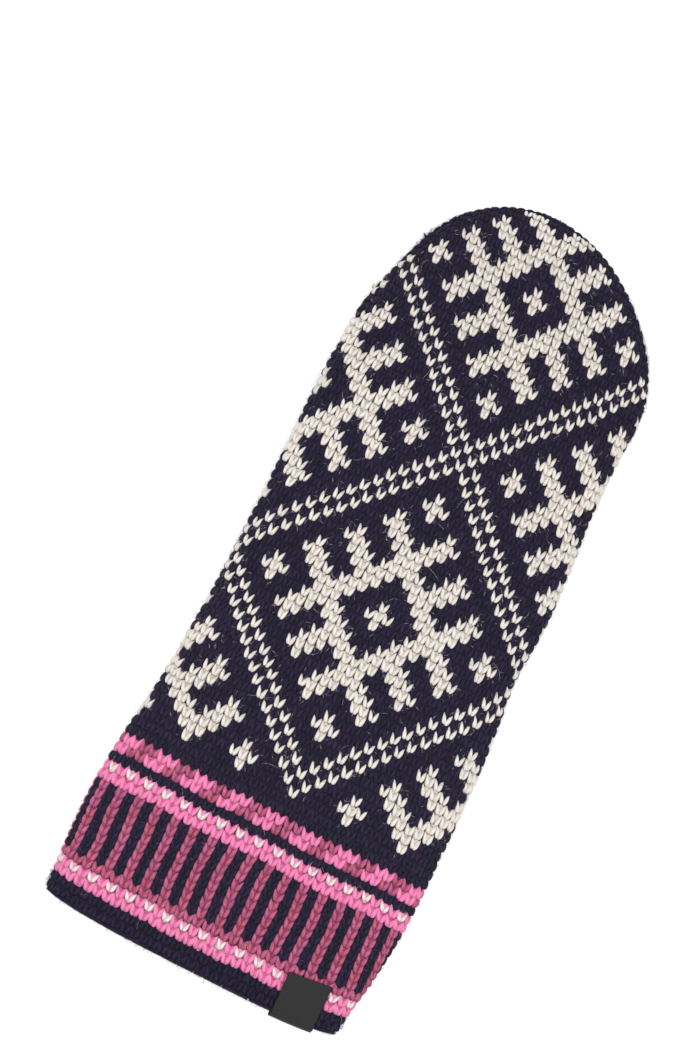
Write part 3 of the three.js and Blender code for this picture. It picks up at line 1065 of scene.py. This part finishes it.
class MITTEN_OT_hairs(MittenOperator, bpy.types.Operator):
    """Strew short fibres and long stray hairs of wool over the mitten"""

    bl_idname = "mitten.hairs"
    bl_label = "Hairs"

    def make(self, yarns, knitting, studio):
        rng = np.random.default_rng(90)
        mean = knitting.hair_length / MM
        for kind, count, length, points, spread, radius in (
            ("fuzz", knitting.fuzz, mean * 0.35, 3, 0.6, 0.032),
            ("hairs", knitting.hairs, mean, 5, 1.6, 0.021),
        ):
            line, yarn = strew(hand_place, count, length, points, spread, (-39.5, 42.0), rng)
            for shade, name in enumerate(YARNS):
                kept = line[yarn == shade][::FIBRE_SHARES[shade]]
                slot = "patterned_wool" if shade in (NAVY, CREAM) else "striped_wool"
                piece = hair_mesh(f"{name}_{kind}", kept, radius, rng)
                finish_piece(piece, yarn_material(shade, yarns), slot)
            line, yarn = strew(thumb_place, count // 8, length, points, spread, (2.0, 23.0), rng)
            piece = hair_mesh(f"thumb_{kind}", line, radius, rng)
            finish_piece(piece, yarn_material(NAVY, yarns), "navy_wool")
        line, yarn = strew(hand_place, knitting.fuzz // 6, mean * 0.3, 3, 0.6, (-40.8, -37.6), rng)
        piece = hair_mesh("hem_fuzz", line[yarn == NAVY], 0.045, rng)
        finish_piece(piece, yarn_material(NAVY, yarns), "striped_wool")


def hair_mesh(name, line, radius, rng):
    """Thin three-sided tubes along rows of points, pointed at both ends: a ring of points stands
    square to the line at each of its inner points."""
    count, rings = line.shape[:2]
    ahead = unit(np.gradient(line, axis=1))
    side = unit(np.cross(ahead, [0.3, 0.2, 0.93]))
    up = np.cross(side, ahead)
    angle = 2 * np.pi * np.arange(3) / 3
    thin = radius * np.sin(np.pi * (np.arange(rings - 2) + 1) / (rings - 1)) ** 0.3
    ring = side[:, 1:-1, None] * np.cos(angle)[:, None] + up[:, 1:-1, None] * np.sin(angle)[:, None]
    tube = line[:, 1:-1, None] + ring * thin[:, None, None]
    points = np.concatenate([tube.reshape(count, -1, 3), line[:, [0, -1]]], 1)
    size = points.shape[1]
    start = (np.arange(count) * size)[:, None, None]
    faces = [(start + shape).reshape(-1, shape.shape[1]) for shape in tube_faces(rings - 2, 3)]
    tone_and_shade = np.repeat(np.clip(rng.normal(0.3, 0.4, count), -1, 1), size)
    yarn = np.zeros((count * size, 3))
    return make_mesh(name, points.reshape(-1, 3), faces, {"tone_and_shade": tone_and_shade, "yarn": yarn})


class MITTEN_OT_label(MittenOperator, bpy.types.Operator):
    """Fold the woven label over the cuff's edge"""

    bl_idname = "mitten.label"
    bl_label = "Label"

    def make(self, yarns, knitting, studio):
        edge = HAND.edge
        route = np.concatenate([
            np.linspace(LABEL_OUTSIDE, edge, 30),
            edge - edge * np.linspace(0, math.pi, 16)[1:-1],
            edge - edge * math.pi - np.linspace(0, LABEL_INSIDE - edge, 20),
        ])
        offset = np.linspace(-LABEL_WIDTH / 2, LABEL_WIDTH / 2, 25)
        out = np.clip((route - edge) / (LABEL_OUTSIDE - edge), 0.0, 1.0)[:, None]
        along = route[:, None] + LABEL_RISE * offset * out
        real = np.where(along > edge, along, 0.0)
        across = LABEL_X + offset - LABEL_LEAN * real - HAND.middle(real)
        turn = np.clip((edge - along) / edge, 0.0, math.pi)
        lift = 0.45 + LABEL_LOOSE * np.sin(turn)
        upper = HAND.lay(np.ones_like(along), across, along, lift + 0.45)
        lower = HAND.lay(np.ones_like(along), across, along, lift)
        loops = np.concatenate([upper, lower[:, ::-1]], 1)
        count = loops.shape[1]
        i = np.arange(count)
        j = (i + 1) % count
        base = (np.arange(len(route) - 1) * count)[:, None]
        sides = np.stack([base + i, base + count + i, base + count + j, base + j], -1).reshape(-1, 4)
        k = np.arange(len(offset) - 1)
        end = (len(route) - 1) * count
        caps = np.stack([k, k + 1, count - 2 - k, count - 1 - k], -1)
        faces = np.concatenate([sides, caps, caps[:, ::-1] + end])
        piece = make_mesh("woven_label", loops.reshape(-1, 3), [faces])
        finish_piece(piece, ribbon("label_ribbon", yarns.label), "woven_label", "label")


def ribbon(name, colour):
    """Fine woven ribbon: a twill of slanted lines painted lighter as a highlight on its raised
    threads, with a soft satin shine.
    """
    n = Nodes(name)
    place = n.object_place()
    turned = n.add("ShaderNodeMapping", {"Vector": place, "Rotation": (0, 0, math.radians(38))})
    settings = {"Vector": turned.outputs[0], "Scale": 420.0, "Distortion": 0.6, "Detail": 1.0}
    weave = n.add("ShaderNodeTexWave", settings).outputs["Fac"]
    # Painted highlight: the twill's raised threads are lighter, broken up by fine noise
    twill_highlight = n.math("MULTIPLY", weave, n.noise(place, 3000.0, 2.0))
    shade = n.mix(twill_highlight, tinted(colour, 0.7), tinted(colour, 1.9))
    n.shade(Base_Color=shade, Roughness=0.6, Normal=n.bump(weave, 0.00012), Specular_IOR_Level=0.2)
    return n.material


class MITTEN_OT_stage(MittenOperator, bpy.types.Operator):
    """Set the pale floor, the soft lights and the camera straight above"""

    bl_idname = "mitten.stage"
    bl_label = "Stage"

    def make(self, yarns, knitting, studio):
        scene = bpy.context.scene
        scene.view_settings.view_transform = "Standard"
        corners = np.array([[-1, -1, 0], [1, -1, 0], [1, 1, 0], [-1, 1, 0]]) * FLOOR_REACH
        mesh = bpy.data.meshes.new("floor")
        mesh.from_pydata(corners.tolist(), [], [[0, 1, 2, 3]])
        floor = bpy.data.objects.new("floor", mesh)
        scene.collection.objects.link(floor)
        paper = Nodes("floor_paper")
        grain = paper.noise(paper.object_place(), 900.0, 2.0)
        paper.shade(Base_Color=paper.mix(grain, (0.90, 0.90, 0.90, 1), (0.93, 0.93, 0.93, 1)), Roughness=0.95)
        mesh.materials.append(paper.material)
        scene.world = bpy.data.worlds.new("studio")
        scene.world.use_nodes = True
        sky = scene.world.node_tree.nodes["Background"]
        sky.inputs["Color"].default_value = (1.0, 1.0, 1.0, 1.0)
        sky.inputs["Strength"].default_value = studio.sky
        centre = np.array([studio.look_x, studio.look_y, 0.0])
        area_light("key", centre + [-0.30, 0.25, 1.6], centre, 1.4, studio.key)
        area_light("fill", centre + [0.6, -0.6, 1.4], centre, 1.2, studio.fill)
        camera = bpy.data.objects.new("camera", bpy.data.cameras.new("camera"))
        camera.data.lens = studio.lens
        distance = studio.framed / 2 * studio.lens / (camera.data.sensor_width / 2)
        camera.location = (studio.look_x, studio.look_y, distance + MIDDLE_HEIGHT)
        camera.rotation_euler = (0.0, 0.0, studio.roll)
        scene.collection.objects.link(camera)
        scene.camera = camera


def area_light(name, place, target, size, power):
    """A square soft light that faces a point."""
    light = bpy.data.lights.new(name, "AREA")
    light.size = size
    light.energy = power
    lamp = bpy.data.objects.new(name, light)
    lamp.location = place
    down = -(place - target) / np.linalg.norm(place - target)
    lamp.rotation_euler = (math.acos(-down[2]), 0.0, math.atan2(down[1], down[0]) - math.pi / 2)
    bpy.context.scene.collection.objects.link(lamp)


class MITTEN_PT_panel(bpy.types.Panel):
    """Lists the mitten's yarns, its knitting and its studio, and what makes its pieces"""

    bl_label = "Stranded Wool Mitten"
    bl_idname = "MITTEN_PT_panel"
    bl_space_type = "VIEW_3D"
    bl_region_type = "UI"
    bl_category = "Mitten"

    def draw(self, context):
        for group in (context.scene.mitten_yarns, context.scene.mitten_knitting, context.scene.mitten_studio):
            box = self.layout.box()
            for key in group.bl_rna.properties.keys():
                if key not in ("rna_type", "name"):
                    box.prop(group, key)
        for operator in OPERATORS:
            self.layout.operator(operator.bl_idname)


GROUPS = {"mitten_yarns": MittenYarns, "mitten_knitting": MittenKnitting, "mitten_studio": MittenStudio}
OPERATORS = (
    MITTEN_OT_stage,
    MITTEN_OT_cuff_ground,
    MITTEN_OT_hand_ground,
    MITTEN_OT_thumb_ground,
    MITTEN_OT_cuff_stitches,
    MITTEN_OT_back_stitches,
    MITTEN_OT_palm_stitches,
    MITTEN_OT_thumb_stitches,
    MITTEN_OT_inside_stitches,
    MITTEN_OT_hairs,
    MITTEN_OT_label,
)


def register():
    for cls in (*GROUPS.values(), *OPERATORS, MITTEN_PT_panel):
        bpy.utils.register_class(cls)
    for name, group in GROUPS.items():
        setattr(bpy.types.Scene, name, PointerProperty(type=group))


def unregister():
    for name in GROUPS:
        delattr(bpy.types.Scene, name)
    for cls in reversed((*GROUPS.values(), *OPERATORS, MITTEN_PT_panel)):
        bpy.utils.unregister_class(cls)


def main():
    """Makes every piece in order."""
    register()
    for operator in OPERATORS:
        getattr(bpy.ops.mitten, operator.bl_idname.split(".")[1])()


if __name__ == "__main__":
    main()
